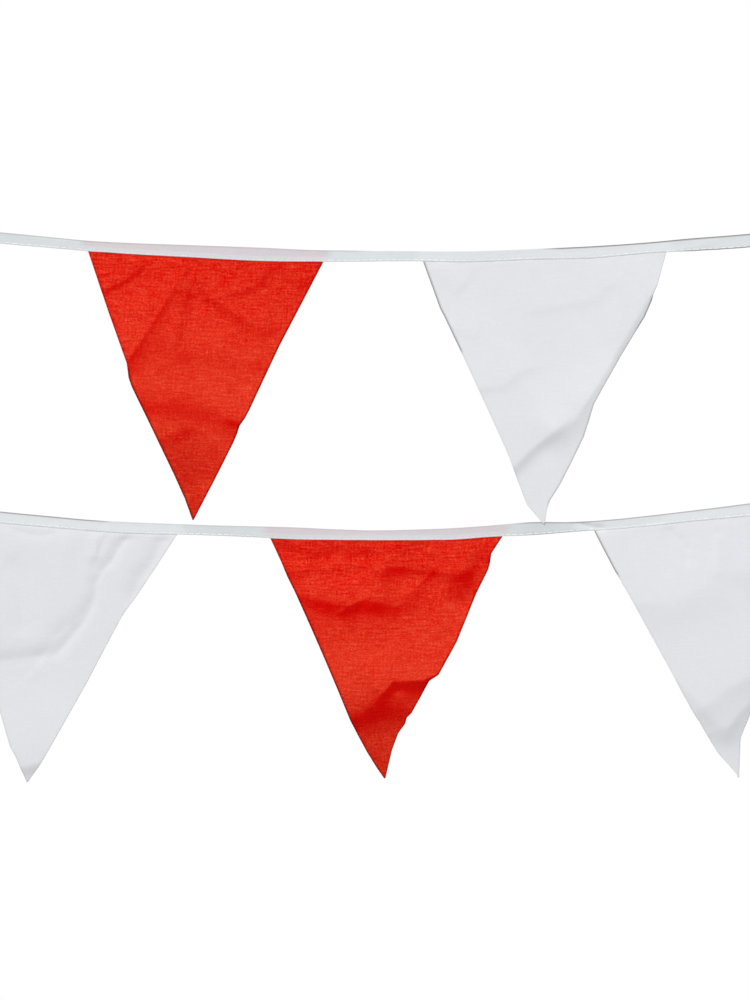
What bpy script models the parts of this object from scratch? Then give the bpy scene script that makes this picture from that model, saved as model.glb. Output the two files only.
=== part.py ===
"""Fabric bunting: cotton pennants sewn into one folded tape, which hangs in two rows.

The tape is one strip of cloth, folded in half lengthwise over the top edges of the pennants. It runs from its
upper right end along the upper row, down from one hanging point to the other, and back along the lower row.
The pennants are single sheets of cloth, red and white in turn, with the creases in which they hang.

Lengths are in metres and the tables in millimetres. X runs to the right and Z up, and Y away from whoever looks
at the bunting. The origin is where the tape turns down from the upper row, in the middle of the tape.
"""

import math
from collections import namedtuple

import bmesh
import bpy
from mathutils import Matrix, Vector

MM = 0.001

# Tape: a strip folded in half, with the fold at the top.
TAPE_WIDTH = 0.012  # folded
TAPE_LAYER = 0.0007  # one layer with its turned-in edge
TAPE_STEP = 0.013
EMPTY_SLOT = 0.0004  # between the two layers where no pennant is sewn in
SLOT_EASE = 0.010  # length over which the tape swells to take a pennant
FOLD_STEPS = 4
TURN_RADIUS = 0.006  # of the middle of the tape, over a hanging point
TURN_STEPS = 7
TWIST_LENGTH = 0.050  # over which the tape turns from upright to lying on a hanging point
LINK_STEP = 0.030

# Pennants: sheets of cloth.
CLOTH = 0.001
CLOTH_STEP = 0.0085
SEAM_FIT = 0.0003  # between a pennant and each layer of the tape
INSERT = 0.009  # how far a pennant reaches up into the tape
TIP_WIDTH = 0.0018
FLAT_BELOW_SEAM = 0.014  # the seam keeps the cloth flat, and the creases grow over this length below it

# A row is the middle of the tape from left to right, as (x, z).
ROWS = {
    "upper": [(0, 0), (85, -8), (205, -18), (325, -22), (505, -26), (645, -22), (725, -17), (865, -4)],
    "lower": [(-75, -268), (85, -287), (245, -298), (405, -305), (465, -305), (545, -301), (625, -297)]
    + [(765, -286), (865, -272), (975, -252)],
}

# A crease is a soft ridge from (x0, z0) to (x1, z1). out is its height towards the viewer, below 0 for a trough.
Crease = namedtuple("Crease", "x0 z0 x1 z1 half_width out")
# x_left and x_right are where the pennant leaves the tape. left and right are the corners of its edges from there
# down to the tip, and tip_out is how far the tip comes forward.
Pennant = namedtuple("Pennant", "row colour x_left x_right left right tip tip_out creases")
PENNANTS = {
    "pennant_upper_red": Pennant(
        row="upper",
        colour="red",
        x_left=164,
        x_right=397,
        left=[(202, -134), (205, -147), (212, -163), (244, -232)],
        right=[(355, -114), (318, -189), (313, -195), (310, -208)],
        tip=(268, -287),
        tip_out=4,
        creases=[
            Crease(262, -38, 240, -92, 10, 5),
            Crease(240, -92, 202, -138, 10, 6),
            Crease(178, -36, 205, -60, 9, -3),
            Crease(216, -162, 272, -173, 14, -4),
            Crease(272, -173, 314, -191, 13, -6),
            Crease(214, -148, 340, -146, 14, 3),
            Crease(340, -38, 322, -54, 9, 3),
            Crease(240, -212, 292, -222, 14, 3),
        ],
    ),
    "pennant_upper_white": Pennant(
        row="upper",
        colour="white",
        x_left=499,
        x_right=741,
        left=[(517, -81), (560, -170), (577, -211), (602, -274)],
        right=[(727, -70), (711, -98), (667, -174), (657, -208), (637, -248), (624, -273)],
        tip=(619, -293),
        tip_out=7,
        creases=[
            Crease(590, -240, 641, -198, 8, -7),
            Crease(641, -198, 668, -176, 10, -5),
            Crease(730, -76, 668, -172, 9, -6),
            Crease(600, -214, 634, -182, 9, 3),
            Crease(556, -158, 628, -130, 12, 4),
            Crease(618, -78, 726, -44, 15, 4),
        ],
    ),
    "pennant_lower_left_white": Pennant(
        row="lower",
        colour="white",
        x_left=17,
        x_right=252,
        left=[(84, -515)],
        right=[(199, -381), (185, -406), (116, -531)],
        tip=(101, -552),
        tip_out=-5,
        creases=[
            Crease(200, -306, 168, -339, 8, -6),
            Crease(168, -339, 165, -372, 8, -6),
            Crease(142, -370, 104, -425, 12, -5),
            Crease(186, -338, 149, -408, 10, 5),
            Crease(149, -408, 104, -444, 10, 4),
            Crease(232, -308, 222, -330, 8, -5),
            Crease(222, -330, 203, -368, 9, -5),
            Crease(60, -322, 100, -388, 14, 4),
        ],
    ),
    "pennant_lower_red": Pennant(
        row="lower",
        colour="red",
        x_left=346,
        x_right=577,
        left=[(353, -320), (385, -391), (409, -449), (427, -490), (447, -528)],
        right=[(564, -324), (564, -335), (549, -358), (530, -412), (513, -443), (503, -449), (484, -484)]
        + [(468, -517)],
        tip=(460, -547),
        tip_out=-7,
        creases=[
            Crease(514, -441, 470, -448, 12, 7),
            Crease(470, -448, 451, -471, 12, 7),
            Crease(451, -471, 422, -480, 12, 6),
            Crease(490, -462, 444, -492, 10, -5),
            Crease(402, -345, 527, -341, 9, -4),
            Crease(527, -341, 564, -330, 9, -4),
            Crease(374, -364, 417, -382, 11, 3),
            Crease(417, -382, 492, -362, 12, 4),
            Crease(355, -311, 408, -324, 10, 3),
            Crease(520, -370, 517, -396, 9, -3),
        ],
    ),
    "pennant_lower_right_white": Pennant(
        row="lower",
        colour="white",
        x_left=669,
        x_right=904,
        left=[(690, -343), (747, -443), (781, -503), (811, -543)],
        right=[(862, -391), (825, -484), (816, -507)],
        tip=(814, -546),
        tip_out=-6,
        creases=[
            Crease(770, -480, 822, -444, 11, 6),
            Crease(790, -506, 826, -468, 10, -6),
            Crease(744, -373, 782, -357, 14, 4),
            Crease(749, -297, 760, -317, 7, -3),
            Crease(856, -310, 838, -392, 14, 4),
        ],
    ),
}

COLOURS = {"red": (0.70, 0.016, 0.008), "white": (0.80, 0.81, 0.83), "tape": (0.78, 0.79, 0.81)}

Station = namedtuple("Station", "place twist slot")


def clear_scene():
    for old in list(bpy.data.objects):
        bpy.data.objects.remove(old)


def cotton(name, colour):
    material = bpy.data.materials.new(name)
    material.use_nodes = True
    shader = material.node_tree.nodes["Principled BSDF"]
    shader.inputs["Base Color"].default_value = (*colour, 1)
    shader.inputs["Roughness"].default_value = 0.9
    shader.inputs["Metallic"].default_value = 0.0
    return material


def ease(share):
    """0 up to share 0, 1 from share 1, and a soft rise between."""
    share = min(1.0, max(0.0, share))
    return share * share * (3 - 2 * share)


def row_height(row_name, x):
    """Height of the middle of the tape at x, on a smooth curve through the row's points."""
    points = ROWS[row_name]
    i = 1
    while i < len(points) - 1 and x > points[i][0] * MM:
        i += 1
    (x0, z0), (x1, z1) = points[i - 1], points[i]
    slopes = []
    for k in (i - 1, i):
        before, after = points[max(k - 1, 0)], points[min(k + 1, len(points) - 1)]
        slopes.append((after[1] - before[1]) / (after[0] - before[0]))
    span = x1 - x0
    t = (x / MM - x0) / span
    rise = ease(t) * (z1 - z0)
    bend = span * (slopes[0] * t * (1 - t) ** 2 - slopes[1] * t * t * (1 - t))
    return (z0 + rise + bend) * MM


def slot_width(row_name, x):
    """Room between the tape's two layers: for a pennant's cloth where one is sewn in, and little elsewhere."""
    filled = 0.0
    for pennant in PENNANTS.values():
        if pennant.row == row_name:
            outside = max(pennant.x_left * MM - x, x - pennant.x_right * MM, 0.0)
            filled = max(filled, ease(1 - outside / SLOT_EASE))
    return EMPTY_SLOT + filled * (CLOTH + 2 * SEAM_FIT - EMPTY_SLOT)


def row_stations(row_name):
    """The tape along one row from left to right. It leaves the hanging point a quarter turn from upright."""
    marks = [ROWS[row_name][0][0] * MM, ROWS[row_name][-1][0] * MM]
    for pennant in PENNANTS.values():
        if pennant.row == row_name:
            x_left, x_right = pennant.x_left * MM, pennant.x_right * MM
            marks += [x_left - SLOT_EASE, x_left, x_right, x_right + SLOT_EASE]
    marks.sort()
    places = [marks[0]]
    for start, end in zip(marks, marks[1:], strict=False):
        steps = math.ceil((end - start) / TAPE_STEP)
        places += [start + (end - start) * i / steps for i in range(1, steps + 1)]

    towards = -1 if row_name == "upper" else 1
    stations = []
    for x in places:
        turned = ease((x - places[0]) / TWIST_LENGTH)
        twist = math.pi / 2 * (1 + towards * turned)
        place = Vector((x, row_height(row_name, x)))
        stations.append(Station(place, twist, slot_width(row_name, x)))
    return stations


def tape_stations():
    """The middle of the tape in the (x, z) plane from the upper right end to the lower right end."""

    def outward(direction):
        return Vector((direction.y, -direction.x)).normalized()

    def turn(centre, first, last):
        angle = math.acos(first.dot(last))
        for i in range(TURN_STEPS + 1):
            yield centre + Matrix.Rotation(angle * i / TURN_STEPS, 2) @ first * TURN_RADIUS

    upper, lower = row_stations("upper"), row_stations("lower")
    off_upper = outward(upper[0].place - upper[1].place)
    off_lower = outward(lower[1].place - lower[0].place)
    upper_hold = upper[0].place - off_upper * TURN_RADIUS
    lower_hold = lower[0].place - off_lower * TURN_RADIUS
    off_link = outward(lower_hold - upper_hold)
    first_turn = list(turn(upper_hold, off_upper, off_link))
    last_turn = list(turn(lower_hold, off_link, off_lower))
    steps = math.ceil((last_turn[0] - first_turn[-1]).length / LINK_STEP)
    link = [first_turn[-1].lerp(last_turn[0], i / steps) for i in range(1, steps)]
    between = [Station(place, math.pi / 2, EMPTY_SLOT) for place in [*first_turn[1:], *link, *last_turn[:-1]]]
    return [*reversed(upper), *between, *lower]


def tape_section(slot):
    """Middle of the tape's cloth across the tape, as (towards the fold, through the thickness)."""
    side = (slot + TAPE_LAYER) / 2
    fold = TAPE_WIDTH / 2 - TAPE_LAYER / 2 - side
    section = [(-TAPE_WIDTH / 2, -side)]
    for i in range(FOLD_STEPS + 1):
        angle = math.pi * (i / FOLD_STEPS - 0.5)
        section.append((fold + side * math.cos(angle), side * math.sin(angle)))
    return [*section, (-TAPE_WIDTH / 2, side)]


def make_tape(material):
    stations = tape_stations()
    mesh = bmesh.new()
    lines = []
    for i, station in enumerate(stations):
        ahead = stations[min(i + 1, len(stations) - 1)].place
        behind = stations[max(i - 1, 0)].place
        along = (ahead - behind).normalized()
        upright = Vector((along.y, 0, -along.x))
        to_fold = upright * math.cos(station.twist) + Vector((0, 1, 0)) * math.sin(station.twist)
        through = Vector((along.x, 0, along.y)).cross(to_fold)
        middle = Vector((station.place.x, 0, station.place.y))
        lines.append([mesh.verts.new(middle + to_fold * a + through * b) for a, b in tape_section(station.slot)])
    for line, following in zip(lines, lines[1:], strict=False):
        for a, b, c, d in zip(line, line[1:], following[1:], following, strict=False):
            mesh.faces.new((a, b, c, d))
    return finish_cloth("tape", mesh, TAPE_LAYER, material)


def edge_place(corners, down):
    """A point on one edge of a pennant, as its x and z: the corners run from the tape to the tip."""
    z = corners[0][1] + (corners[-1][1] - corners[0][1]) * down
    for (x0, z0), (x1, z1) in zip(corners, corners[1:], strict=False):
        if z >= z1:
            return x0 + (x1 - x0) * (z0 - z) / (z0 - z1), z
    return corners[-1]


def relief(creases, x, z):
    """How far the creases bring the cloth at (x, z) towards the viewer."""
    out = 0.0
    place = Vector((x, z))
    for crease in creases:
        start = Vector((crease.x0, crease.z0)) * MM
        run = Vector((crease.x1, crease.z1)) * MM - start
        share = min(1.0, max(0.0, (place - start).dot(run) / run.length_squared))
        away = (place - start - run * share).length / (crease.half_width * MM)
        out += crease.out * MM * math.exp(-away * away)
    return out


def pennant_rows(pennant):
    """The cloth's points in rows, from its top edge inside the tape down to its tip."""

    def seam(x):
        return row_height(pennant.row, x) - TAPE_WIDTH / 2

    x_left, x_right = pennant.x_left * MM, pennant.x_right * MM
    tip_x, tip_z = pennant.tip[0] * MM, pennant.tip[1] * MM
    left = [(x * MM, z * MM) for x, z in pennant.left]
    left = [(x_left, seam(x_left)), *left, (tip_x - TIP_WIDTH / 2, tip_z)]
    right = [(x * MM, z * MM) for x, z in pennant.right]
    right = [(x_right, seam(x_right)), *right, (tip_x + TIP_WIDTH / 2, tip_z)]

    rows = []
    steps = round((left[0][1] - tip_z) / CLOTH_STEP)
    levels = [(0.0, INSERT), (0.0, INSERT / 2), *[(i / steps, 0.0) for i in range(steps + 1)]]
    for down, tucked in levels:
        (left_x, left_z), (right_x, right_z) = edge_place(left, down), edge_place(right, down)
        columns = max(1, round((right_x - left_x) / CLOTH_STEP))
        row = []
        for i in range(columns + 1):
            across = i / columns
            x = left_x + (right_x - left_x) * across
            seam_x = x_left + (x_right - x_left) * across
            sag = seam(seam_x) - (left[0][1] + (right[0][1] - left[0][1]) * across)
            z = left_z + (right_z - left_z) * across + sag * (1 - down) ** 2 + tucked
            out = relief(pennant.creases, x, z) + pennant.tip_out * MM * down**2
            row.append(Vector((x, -out * ease((seam(x) - z) / FLAT_BELOW_SEAM), z)))
        rows.append(row)
    return rows


def join_rows(mesh, upper, lower):
    """Triangles between two rows, which may differ in their number of points."""
    i = j = 0
    last_i, last_j = len(upper) - 1, len(lower) - 1
    while i < last_i or j < last_j:
        if j == last_j or (i < last_i and (i + 1) * last_j <= (j + 1) * last_i):
            mesh.faces.new((upper[i], lower[j], upper[i + 1]))
            i += 1
        else:
            mesh.faces.new((upper[i], lower[j], lower[j + 1]))
            j += 1


def make_pennant(name, pennant, material):
    mesh = bmesh.new()
    rows = [[mesh.verts.new(point) for point in row] for row in pennant_rows(pennant)]
    for upper, lower in zip(rows, rows[1:], strict=False):
        join_rows(mesh, upper, lower)
    return finish_cloth(name, mesh, CLOTH, material)


def finish_cloth(name, mesh, thickness, material):
    """An object from the middle of its cloth, thickened evenly to both sides."""
    bmesh.ops.recalc_face_normals(mesh, faces=mesh.faces)
    data = bpy.data.meshes.new(name)
    mesh.to_mesh(data)
    mesh.free()
    data.materials.append(material)
    cloth = bpy.data.objects.new(name, data)
    bpy.context.scene.collection.objects.link(cloth)
    solidify = cloth.modifiers.new("thickness", "SOLIDIFY")
    solidify.thickness = thickness
    solidify.offset = 0.0
    solidify.use_even_offset = True
    return cloth


def main():
    clear_scene()
    materials = {colour: cotton(f"{colour}_cotton", rgb) for colour, rgb in COLOURS.items()}
    make_tape(materials["tape"])
    for name, pennant in PENNANTS.items():
        make_pennant(name, pennant, materials[pennant.colour])


main()
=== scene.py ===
import math
from collections import namedtuple

import bpy
import numpy as np
from mathutils import Matrix, Vector, noise


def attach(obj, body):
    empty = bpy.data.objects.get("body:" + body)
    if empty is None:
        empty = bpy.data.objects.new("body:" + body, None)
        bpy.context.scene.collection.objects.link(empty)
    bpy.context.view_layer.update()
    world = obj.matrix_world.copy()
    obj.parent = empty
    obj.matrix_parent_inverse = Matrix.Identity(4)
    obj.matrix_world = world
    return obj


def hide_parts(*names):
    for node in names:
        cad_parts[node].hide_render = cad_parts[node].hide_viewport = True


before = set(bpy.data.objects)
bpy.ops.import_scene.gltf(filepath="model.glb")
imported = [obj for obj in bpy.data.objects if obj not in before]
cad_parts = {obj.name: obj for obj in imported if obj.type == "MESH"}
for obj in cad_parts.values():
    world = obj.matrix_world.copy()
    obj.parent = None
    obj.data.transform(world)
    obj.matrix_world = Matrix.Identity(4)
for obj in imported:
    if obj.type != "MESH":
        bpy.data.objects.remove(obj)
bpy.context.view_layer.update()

MM = 0.001
bpy.ops.object.select_all(action="DESELECT")


# The room: a plain pale floor far below the bunting, an even pale surround, one large soft light high on the left,
# a weaker one from the right, and a long lens square to the rows.
VIEW_CENTRE = (0.450, 0.0, -0.269)
VIEW_HEIGHT = 1.0  # of what the picture takes in at the rows
LENS = 100.0
SENSOR = 36.0
FLOOR_DROP = 1.7
FLOOR_SIZE = 5.0
SURROUND = 0.375  # strength of the light from all round, which the camera doesn't see

world = bpy.data.worlds.new("studio")
bpy.context.scene.world = world
world.use_nodes = True
sky = world.node_tree
sky.nodes.clear()
seen = sky.nodes.new("ShaderNodeBackground")
seen.inputs["Color"].default_value = (1.0, 1.0, 1.0, 1.0)
seen.inputs["Strength"].default_value = 1.0
fill = sky.nodes.new("ShaderNodeBackground")
fill.inputs["Color"].default_value = (0.97, 0.98, 1.0, 1.0)
fill.inputs["Strength"].default_value = SURROUND
ray = sky.nodes.new("ShaderNodeLightPath")
choose = sky.nodes.new("ShaderNodeMixShader")
surround = sky.nodes.new("ShaderNodeOutputWorld")
sky.links.new(ray.outputs["Is Camera Ray"], choose.inputs[0])
sky.links.new(fill.outputs[0], choose.inputs[1])
sky.links.new(seen.outputs[0], choose.inputs[2])
sky.links.new(choose.outputs[0], surround.inputs[0])
bpy.context.scene.view_settings.view_transform = "Standard"

bpy.ops.mesh.primitive_plane_add(size=FLOOR_SIZE, location=(VIEW_CENTRE[0], 0.0, VIEW_CENTRE[2] - FLOOR_DROP))
floor = bpy.context.object
floor.name = "floor"
floor_paint = bpy.data.materials.new("floor_paint")
floor_paint.use_nodes = True
paint = floor_paint.node_tree.nodes["Principled BSDF"]
paint.inputs["Base Color"].default_value = (0.76, 0.76, 0.76, 1.0)
paint.inputs["Roughness"].default_value = 0.8
floor.data.materials.append(floor_paint)


def softbox(name, place, size, power, tint):
    """A square light that faces the bunting."""
    bpy.ops.object.light_add(type="AREA", location=place)
    lamp = bpy.context.object
    lamp.name = name
    lamp.data.shape = "SQUARE"
    lamp.data.size = size
    lamp.data.energy = power
    lamp.data.color = tint
    lamp.rotation_euler = (Vector(VIEW_CENTRE) - Vector(place)).to_track_quat("-Z", "Y").to_euler()


softbox("key_light", (-2.55, -6.40, 6.83), 4.0, 750.0, (1.0, 0.995, 0.985))
softbox("side_light", (5.20, -4.60, 0.80), 3.2, 42.0, (0.98, 0.99, 1.0))

bpy.ops.object.camera_add(
    location=(VIEW_CENTRE[0], -VIEW_HEIGHT * LENS / SENSOR, VIEW_CENTRE[2]), rotation=(math.pi / 2, 0.0, 0.0)
)
camera = bpy.context.object
camera.name = "camera"
camera.data.lens = LENS
camera.data.sensor_width = SENSOR
bpy.context.scene.camera = camera


# The tape: one strip of thin white cotton, its raw edges turned in, folded in half lengthwise over the top edges
# of the pennants, with the fold at the top. It turns down over one hanging point and back over the other.
HEM = 4.6 * MM  # of cloth turned in at each edge
LAYER_STEP = 0.18 * MM  # from the middle of one layer to the middle of the next
SEWN_DIP = 0.05 * MM  # how far the seam draws the outer layer in
TAPE_CLOTH = 0.16 * MM
LINK_WIDTH = 11.0 * MM
TURN_RADIUS = 6.0 * MM
TWIST_LENGTH = 50.0 * MM  # over which the tape turns flat towards a hanging point
SLOT_EASE = 12.0 * MM  # over which the tape closes beside a pennant
ROW_STEP = 2.2 * MM
TURN_STEPS = 14
FOLD_BLEND = 1.5 * MM  # how softly one run of a fold's line passes into the next
FOLD_FADE = 0.2  # share of a fold's length in which it rises at each end
Hold = namedtuple("Hold", "x z width")  # the middle of the tape and its width there, in mm
ROWS = {
    "upper": [
        Hold(0, 0, 11.0), Hold(85, -7.8, 11.0), Hold(125, -11.5, 10.6), Hold(165, -15.1, 10.3),
        Hold(205, -17.5, 10.8), Hold(265, -20.2, 12.0), Hold(345, -23.7, 13.0), Hold(385, -24.8, 11.5),
        Hold(425, -25.1, 11.1), Hold(485, -25.1, 10.0), Hold(545, -25.5, 10.6), Hold(605, -23.3, 10.4),
        Hold(665, -21.3, 11.6), Hold(727, -16.5, 10.6), Hold(767, -13.7, 12.6), Hold(807, -11.0, 13.4),
        Hold(865, -5.6, 12.8),
    ],
    "lower": [
        Hold(-75, -268, 11.0), Hold(20, -280.0, 10.8), Hold(85, -287.2, 11.2), Hold(122, -290.5, 10.8),
        Hold(166, -294.4, 10.6), Hold(202, -296.6, 11.0), Hold(247, -298.1, 10.4), Hold(287, -299.4, 10.2),
        Hold(327, -300.7, 10.8), Hold(367, -302.3, 11.8), Hold(407, -303.5, 10.6), Hold(447, -304.3, 9.7),
        Hold(487, -303.9, 10.3), Hold(527, -302.9, 11.3), Hold(567, -300.1, 11.3), Hold(607, -297.6, 13.0),
        Hold(647, -296.0, 9.8), Hold(687, -293.4, 9.6), Hold(723, -289.9, 10.0), Hold(773, -284.3, 10.6),
        Hold(822, -278.9, 12.2), Hold(865, -273.0, 12.2), Hold(975, -252.0, 11.8),
    ],
}
# Where pennants leave the tape, from x to x in mm.
WHITE_SPANS = {"upper": [(498, 741)], "lower": [(17, 252), (669, 904)]}
RED_SPANS = {"upper": [(163, 398)], "lower": [(345, 577)]}
# Places where the tape has rolled a little: the middle and half the length in mm, and degrees, positive where it
# looks down.
Roll = namedtuple("Roll", "x half degrees")
ROLLS = {
    "upper": [Roll(70, 40, 4), Roll(450, 40, -5), Roll(560, 50, 3), Roll(800, 60, -6)],
    "lower": [Roll(300, 35, 4), Roll(460, 60, -3), Roll(615, 26, 8), Roll(760, 60, -4)],
}
# Stretches of the fold and of the sewn edge that are darkened grey, from x to x in mm, and how grey.
GREY_FOLD = {
    "upper": [(70, 180, 0.35), (200, 420, 0.3), (640, 865, 1.0)],
    "lower": [(70, 165, 0.8), (200, 560, 0.2), (610, 900, 0.6)],
}
GREY_FOOT = {"upper": [(770, 865, 0.8)], "lower": [(612, 660, 0.3)]}
# A fold is a ridge along a line of points in mm, or a trough where its rise is less than 0. left and right are its
# half widths on either hand of someone who follows the line, and crisp sharpens its crest.
Fold = namedtuple("Fold", "line rise left right crisp")


def ease(share):
    """0 up to share 0, 1 from share 1, and a soft rise between."""
    share = np.clip(share, 0.0, 1.0)
    return share * share * (3 - 2 * share)


def along_row(row, x, column):
    """A column of the row's holds at each x, on a smooth curve through them: 1 is the height, 2 the width."""
    holds = np.array(ROWS[row]) * MM
    px, pz = holds[:, 0], holds[:, column]
    steps = np.gradient(pz, px)
    i = np.clip(np.searchsorted(px, x) - 1, 0, len(px) - 2)
    span = px[i + 1] - px[i]
    t = (x - px[i]) / span
    bend = span * (steps[i] * t * (1 - t) ** 2 - steps[i + 1] * t * t * (1 - t))
    return pz[i] + (t * t * (3 - 2 * t)) * (pz[i + 1] - pz[i]) + bend


def seam_height(row, x):
    """Height of the lower edge of the tape."""
    return along_row(row, x, 1) - along_row(row, x, 2) / 2


def roll_at(row, x):
    """How far the tape has rolled about its middle, in radians."""
    angle = np.zeros_like(x)
    for roll in ROLLS[row]:
        angle += math.radians(roll.degrees) * np.exp(-(((x - roll.x * MM) / (roll.half * MM)) ** 2))
    return angle


def in_spans(spans, x, soft):
    """The strength of the span that each x lies in, or 1 where none is given, fading out over a length soft."""
    filled = np.zeros_like(x)
    for start, end, *strength in spans:
        outside = np.maximum(np.maximum(start * MM - x, x - end * MM), 0.0)
        filled = np.maximum(filled, ease(1 - outside / soft) * (strength[0] if strength else 1.0))
    return filled


def relief(folds, x, z):
    """How far the folds bring each point of the cloth forward, in metres."""
    out = np.zeros_like(x)
    for fold in folds:
        line = np.array(fold.line, dtype=float) * MM
        lengths = np.linalg.norm(np.diff(line, axis=0), axis=1)
        # How far each point is from each run of the line, on which hand, and how far along the line it lies.
        away, hand, at = [], [], []
        for k, (start, end) in enumerate(zip(line, line[1:])):
            run = (end - start) / lengths[k]
            share = np.clip(((x - start[0]) * run[0] + (z - start[1]) * run[1]) / lengths[k], 0.0, 1.0)
            dx = x - start[0] - run[0] * lengths[k] * share
            dz = z - start[1] - run[1] * lengths[k] * share
            away.append(np.hypot(dx, dz))
            hand.append((run[0] * dz - run[1] * dx) / np.maximum(away[-1], 1e-6))
            at.append((lengths[:k].sum() + share * lengths[k]) / lengths.sum())
        away, hand, at = np.array(away), np.array(hand), np.array(at)
        weight = np.exp((away.min(axis=0) - away) / FOLD_BLEND)
        weight /= weight.sum(axis=0)
        away, hand, at = ((measure * weight).sum(axis=0) for measure in (away, hand, at))
        width = (fold.right + (fold.left - fold.right) * ease(0.5 + 0.5 * hand)) * MM
        fade = ease(np.minimum(at, 1 - at) / FOLD_FADE)
        out += fold.rise * MM * fade * np.exp(-((away / width) ** (2.0 - fold.crisp)))
    return out


def tape_stations():
    """The tape from its upper right end to its lower right end, a row for each station: x and z of its middle, its
    turn about its own length, its width, how full of pennant and of red pennant it is, and how grey its fold and
    its foot are."""

    def outward(direction):
        direction = direction / np.linalg.norm(direction)
        return np.array([direction[1], -direction[0]])

    def turn(centre, first, last):
        start = math.atan2(first[1], first[0])
        angle = math.acos(float(np.dot(first, last)))
        angles = start + angle * np.linspace(0, 1, TURN_STEPS + 1)
        return centre + TURN_RADIUS * np.stack([np.cos(angles), np.sin(angles)], axis=1)

    runs = {}
    for row in ROWS:
        left, right = ROWS[row][0].x * MM, ROWS[row][-1].x * MM
        x = np.linspace(left, right, math.ceil((right - left) / ROW_STEP) + 1)
        full_red = in_spans(RED_SPANS[row], x, SLOT_EASE)
        full = np.maximum(full_red, in_spans(WHITE_SPANS[row], x, SLOT_EASE))
        towards = -1 if row == "upper" else 1
        settled = ease((x - left) / TWIST_LENGTH)
        angle = math.pi / 2 * (1 + towards * settled) + towards * settled * roll_at(row, x)
        grey_fold, grey_foot = in_spans(GREY_FOLD[row], x, 0.03), in_spans(GREY_FOOT[row], x, 0.02)
        runs[row] = np.column_stack(
            [x, along_row(row, x, 1), angle, along_row(row, x, 2), full, full_red, grey_fold, grey_foot]
        )
    upper, lower = runs["upper"], runs["lower"]
    off_upper = outward(upper[0, :2] - upper[1, :2])
    off_lower = outward(lower[1, :2] - lower[0, :2])
    upper_hold = upper[0, :2] - off_upper * TURN_RADIUS
    lower_hold = lower[0, :2] - off_lower * TURN_RADIUS
    off_link = outward(lower_hold - upper_hold)
    first_turn = turn(upper_hold, off_upper, off_link)
    last_turn = turn(lower_hold, off_link, off_lower)
    steps = math.ceil(np.linalg.norm(last_turn[0] - first_turn[-1]) / ROW_STEP)
    share = np.linspace(0, 1, steps + 1)[1:-1, None]
    link = first_turn[-1] * (1 - share) + last_turn[0] * share
    between = np.vstack([first_turn[1:], link, last_turn[:-1]])
    plain = np.tile([math.pi / 2, LINK_WIDTH, 0.0, 0.0, 0.0, 0.0], (len(between), 1))
    return np.vstack([upper[::-1], np.column_stack([between, plain]), lower])


def hem_out(full):
    """How far the turned-in edge lies from the middle of the tape. full is 0 for an empty tape and 1 where a
    pennant's cloth lies in it."""
    return (0.12 + 0.13 * full) * MM


def tape_section(width, full):
    """The strip's cloth across the tape, from one raw edge to the other, as (towards the fold, through the
    thickness) in metres."""
    foot = -width / 2
    hem = hem_out(full)
    face = hem + LAYER_STEP  # the outer layer over the turned-in edge
    top = (0.16 + 0.13 * full) * MM  # the outer layer above it
    bend = (face - hem) / 2
    side = [(foot + HEM, hem), (foot + 0.7 * HEM, hem), (foot + 0.35 * HEM, hem), (foot + 2 * bend, hem)]
    for i in range(1, 4):
        angle = math.pi * i / 4
        side.append((foot + bend - bend * math.sin(angle), hem + bend - bend * math.cos(angle)))
    side += [(foot + 2 * bend, face), (foot + 0.7 * MM, face + 0.03 * MM), (foot + 1.2 * MM, face - SEWN_DIP)]
    side += [(foot + 2.1 * MM, face + 0.03 * MM), (foot + 0.86 * HEM, face), (foot + 1.14 * HEM, top + 0.05 * MM)]
    inner, fold = foot + 1.14 * HEM, -foot - top * 1.3
    side += [(inner + (fold - inner) * share, top + 0.04 * MM) for share in (0.3, 0.55, 0.75, 0.9)]
    front = [(a, -b) for a, b in side]
    crown = []
    for i in range(5):
        angle = math.pi * (i / 4 - 0.5)
        crown.append((fold + top * 1.3 * math.cos(angle), top * math.sin(angle)))
    return np.array([*front, *crown, *side[::-1]])


def wander(distances, waves, lane):
    """Unevenness along the tape, with about so many waves to the metre, in a lane of its own."""
    return np.array([noise.noise(Vector((s * waves, lane, 0.0))) for s in distances])


def lay_on_cut(mesh, flat):
    """Maps a mesh to the flat cut of its cloth."""
    corner = np.empty(len(mesh.loops), dtype=int)
    mesh.loops.foreach_get("vertex_index", corner)
    cut = mesh.uv_layers.active
    cut.name = "cut"
    cut.uv.foreach_set("vector", flat[corner].ravel())


def keep_number(mesh, name, numbers):
    mesh.attributes.new(name, "FLOAT", "POINT").data.foreach_set("value", numbers)


def keep_colour(mesh, name, colours):
    mesh.attributes.new(name, "FLOAT_COLOR", "POINT").data.foreach_set("color", colours.ravel())


def thicken(piece, thickness):
    """Gives a sheet the thickness of its cloth, half of it on each side."""
    solid = piece.modifiers.new("cloth", "SOLIDIFY")
    solid.thickness = thickness
    solid.offset = 0.0
    bpy.ops.object.modifier_apply(modifier="cloth")


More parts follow.
